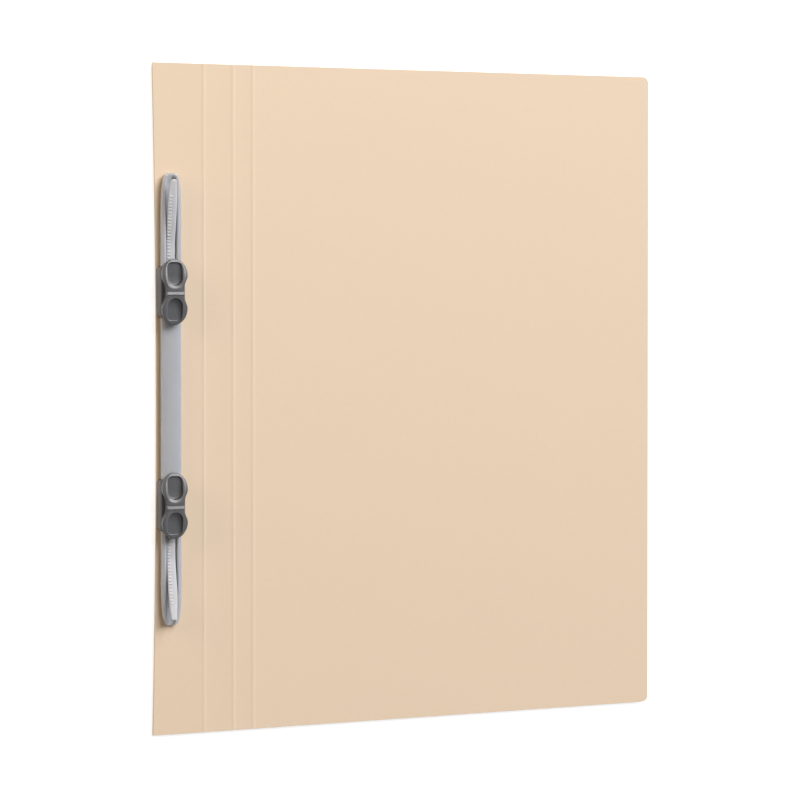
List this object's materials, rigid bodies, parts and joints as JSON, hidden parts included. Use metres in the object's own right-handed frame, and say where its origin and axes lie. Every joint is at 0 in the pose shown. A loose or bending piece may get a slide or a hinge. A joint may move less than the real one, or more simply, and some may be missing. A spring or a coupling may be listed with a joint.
{
  "type": "two-hole report folder",
  "caption": "Report folder of creased card covers, bound by a plastic prong fastener with a compressor bar and sliding locks.",
  "frame": {"origin": "under the middle of the closed folder, on the surface that it lies on", "axes": "+X from the binding edge to the fore edge, +Y up the page, +Z out of the front cover"},
  "size_m": [0.25, 0.307, 0.0142],
  "materials": {
    "card": "matte uncoated buff card",
    "prong_plastic": "satin light grey moulded plastic",
    "bar_plastic": "satin light grey moulded plastic",
    "slider_plastic": "satin dark grey moulded plastic"
  },
  "bodies": {
    "binding": {"fastener_base": "prong_plastic", "back_cover_margin": "card", "front_cover_margin": "card", "compressor_bar": "bar_plastic"},
    "front_strip_1": {"front_cover_strip_1": "card"},
    "front_strip_2": {"front_cover_strip_2": "card"},
    "front_panel": {"front_cover_panel": "card"},
    "back_strip_1": {"back_cover_strip_1": "card"},
    "back_strip_2": {"back_cover_strip_2": "card"},
    "back_panel": {"back_cover_panel": "card"},
    "upper_lock": {"upper_slider": "slider_plastic"},
    "lower_lock": {"lower_slider": "slider_plastic"},
    "upper_prong": {"upper_prong_tail": "prong_plastic"},
    "lower_prong": {"lower_prong_tail": "prong_plastic"}
  },
  "joints": [
    {"name": "front_crease_1", "type": "hinge", "parent": "binding", "child": "front_strip_1", "pos_m": [-0.1008, 0, 0.003], "axis": [0, -1, 0], "range_deg": [0, 60]},
    {"name": "front_crease_2", "type": "hinge", "parent": "front_strip_1", "child": "front_strip_2", "pos_m": [-0.0868, 0, 0.003], "axis": [0, -1, 0], "range_deg": [0, 60]},
    {"name": "front_crease_3", "type": "hinge", "parent": "front_strip_2", "child": "front_panel", "pos_m": [-0.0773, 0, 0.003], "axis": [0, -1, 0], "range_deg": [0, 60]},
    {"name": "back_crease_1", "type": "hinge", "parent": "binding", "child": "back_strip_1", "pos_m": [-0.1008, 0, 0.0011], "axis": [0, 1, 0], "range_deg": [0, 60]},
    {"name": "back_crease_2", "type": "hinge", "parent": "back_strip_1", "child": "back_strip_2", "pos_m": [-0.0868, 0, 0.0011], "axis": [0, 1, 0], "range_deg": [0, 60]},
    {"name": "back_crease_3", "type": "hinge", "parent": "back_strip_2", "child": "back_panel", "pos_m": [-0.0773, 0, 0.0011], "axis": [0, 1, 0], "range_deg": [0, 60]},
    {"name": "upper_lock_slide", "type": "slide", "parent": "binding", "child": "upper_lock", "axis": [0, -1, 0], "range_m": [0, 0.027]},
    {"name": "lower_lock_slide", "type": "slide", "parent": "binding", "child": "lower_lock", "axis": [0, 1, 0], "range_m": [0, 0.027]},
    {"name": "upper_prong_flex", "type": "hinge", "parent": "binding", "child": "upper_prong", "pos_m": [-0.117, 0.0725, 0.0052], "axis": [1, 0, 0], "range_deg": [-10, 20], "stiffness_Nm_per_rad": 0.005},
    {"name": "lower_prong_flex", "type": "hinge", "parent": "binding", "child": "lower_prong", "pos_m": [-0.117, -0.0725, 0.0052], "axis": [-1, 0, 0], "range_deg": [-10, 20], "stiffness_Nm_per_rad": 0.005}
  ]
}
